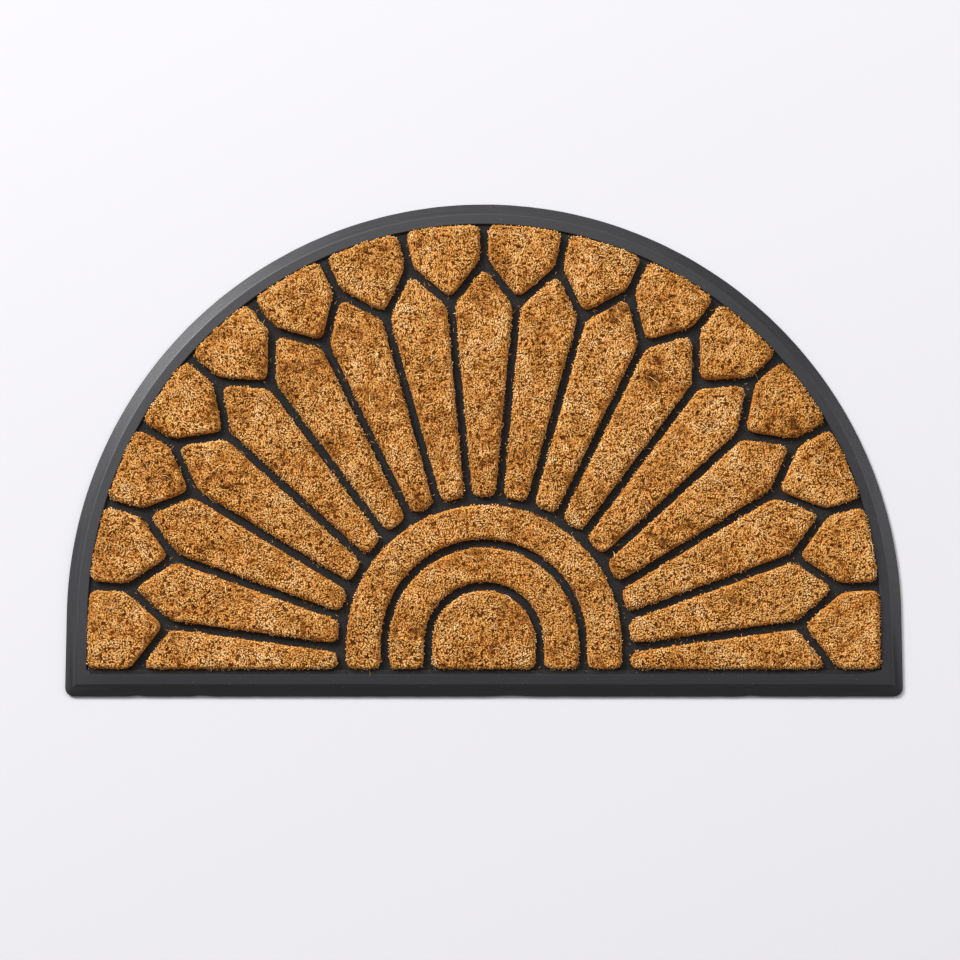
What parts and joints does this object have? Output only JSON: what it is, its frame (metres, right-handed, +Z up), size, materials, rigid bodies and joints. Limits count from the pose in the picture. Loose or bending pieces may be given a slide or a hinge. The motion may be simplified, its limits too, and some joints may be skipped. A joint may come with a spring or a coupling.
{
  "type": "half-round coir and rubber scraper mat",
  "caption": "Half-round door mat that scrapes shoes: coir bristle pads in a sunburst, set in a moulded rubber tray with a bevelled rim.",
  "frame": {"origin": "on the floor under the middle of the mat's box", "axes": "+X along the straight edge, +Y from the straight edge towards the round one, +Z up from the floor"},
  "size_m": [0.75, 0.45, 0.015],
  "materials": {
    "rubber": "moulded, satin black",
    "coir": "dense cut coir bristle"
  },
  "bodies": {
    "root": {"tray": "rubber", "arch_inner": "coir", "arch_outer": "coir", "core": "coir", "ray_middle": "coir", "ray_right_1": "coir", "ray_left_1": "coir", "ray_right_2": "coir", "ray_left_2": "coir", "ray_right_3": "coir", "ray_left_3": "coir", "ray_right_4": "coir", "ray_left_4": "coir", "ray_right_5": "coir", "ray_left_5": "coir", "ray_right_6": "coir", "ray_left_6": "coir", "ray_right_7": "coir", "ray_left_7": "coir", "half_ray_right": "coir", "half_ray_left": "coir", "shield_right_1": "coir", "shield_left_1": "coir", "shield_right_2": "coir", "shield_left_2": "coir", "shield_right_3": "coir", "shield_left_3": "coir", "shield_right_4": "coir", "shield_left_4": "coir", "shield_right_5": "coir", "shield_left_5": "coir", "shield_right_6": "coir", "shield_left_6": "coir", "shield_right_7": "coir", "shield_left_7": "coir", "shield_right_8": "coir", "shield_left_8": "coir"}
  },
  "joints": []
}
